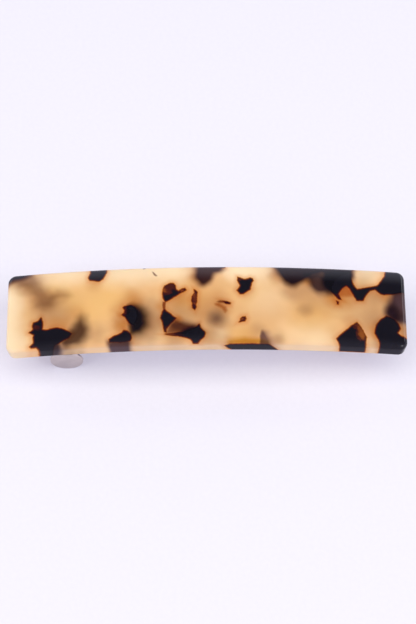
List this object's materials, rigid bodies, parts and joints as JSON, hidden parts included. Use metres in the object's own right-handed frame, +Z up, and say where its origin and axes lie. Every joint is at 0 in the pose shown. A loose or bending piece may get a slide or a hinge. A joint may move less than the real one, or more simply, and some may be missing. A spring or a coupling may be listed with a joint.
{
  "type": "barrette",
  "caption": "Arched rectangular hair barrette: a polished acetate plate on a sprung metal clip with a hinged closing arm, a bowed tension bar and squeeze tabs.",
  "frame": {"origin": "under the middle of the barrette, on the surface that it stands on, closed and with its convex face up", "axes": "+X along the barrette from the clasp end to the hinge end, +Y across it to the rear, +Z up through the plate's convex front face"},
  "size_m": [0.0996, 0.022, 0.017],
  "materials": {
    "acetate": "polished tortoiseshell acetate, honey with near-black and brown patches",
    "plated_steel": "satin nickel plate",
    "spring_steel": "satin nickel plate, drawn lengthwise",
    "rivets": "bright nickel plate"
  },
  "bodies": {
    "base": {"plate": "acetate", "base_bar": "plated_steel", "fixing_pins": "rivets", "hinge_pin": "rivets", "clasp_root": "spring_steel", "clasp_rivet": "rivets"},
    "arm": {"closing_arm": "plated_steel"},
    "tension_spring": {"tension_bar": "spring_steel"},
    "front_tab": {"clasp_leg_front": "spring_steel"},
    "rear_tab": {"clasp_leg_rear": "spring_steel"}
  },
  "joints": [
    {"name": "arm_hinge", "type": "hinge", "parent": "base", "child": "arm", "pos_m": [0.036, 0, 0.0024], "axis": [0, -1, 0], "range_deg": [0, 105]},
    {"name": "tension_bar_hinge", "type": "hinge", "parent": "base", "child": "tension_spring", "pos_m": [0.036, 0, 0.0024], "axis": [0, -1, 0], "range_deg": [0, 42]},
    {"name": "front_tab_squeeze", "type": "hinge", "parent": "base", "child": "front_tab", "pos_m": [-0.03589, -0.0022, 0.00987], "axis": [0.9934, 0, 0.1145], "range_deg": [0, 7], "stiffness_Nm_per_rad": 0.3},
    {"name": "rear_tab_squeeze", "type": "hinge", "parent": "base", "child": "rear_tab", "pos_m": [-0.03589, 0.0022, 0.00987], "axis": [-0.9934, 0, -0.1145], "range_deg": [0, 7], "stiffness_Nm_per_rad": 0.3}
  ],
  "couplings": [
    {"joint": "tension_bar_hinge", "follows": "arm_hinge", "ratio": 0.4}
  ]
}
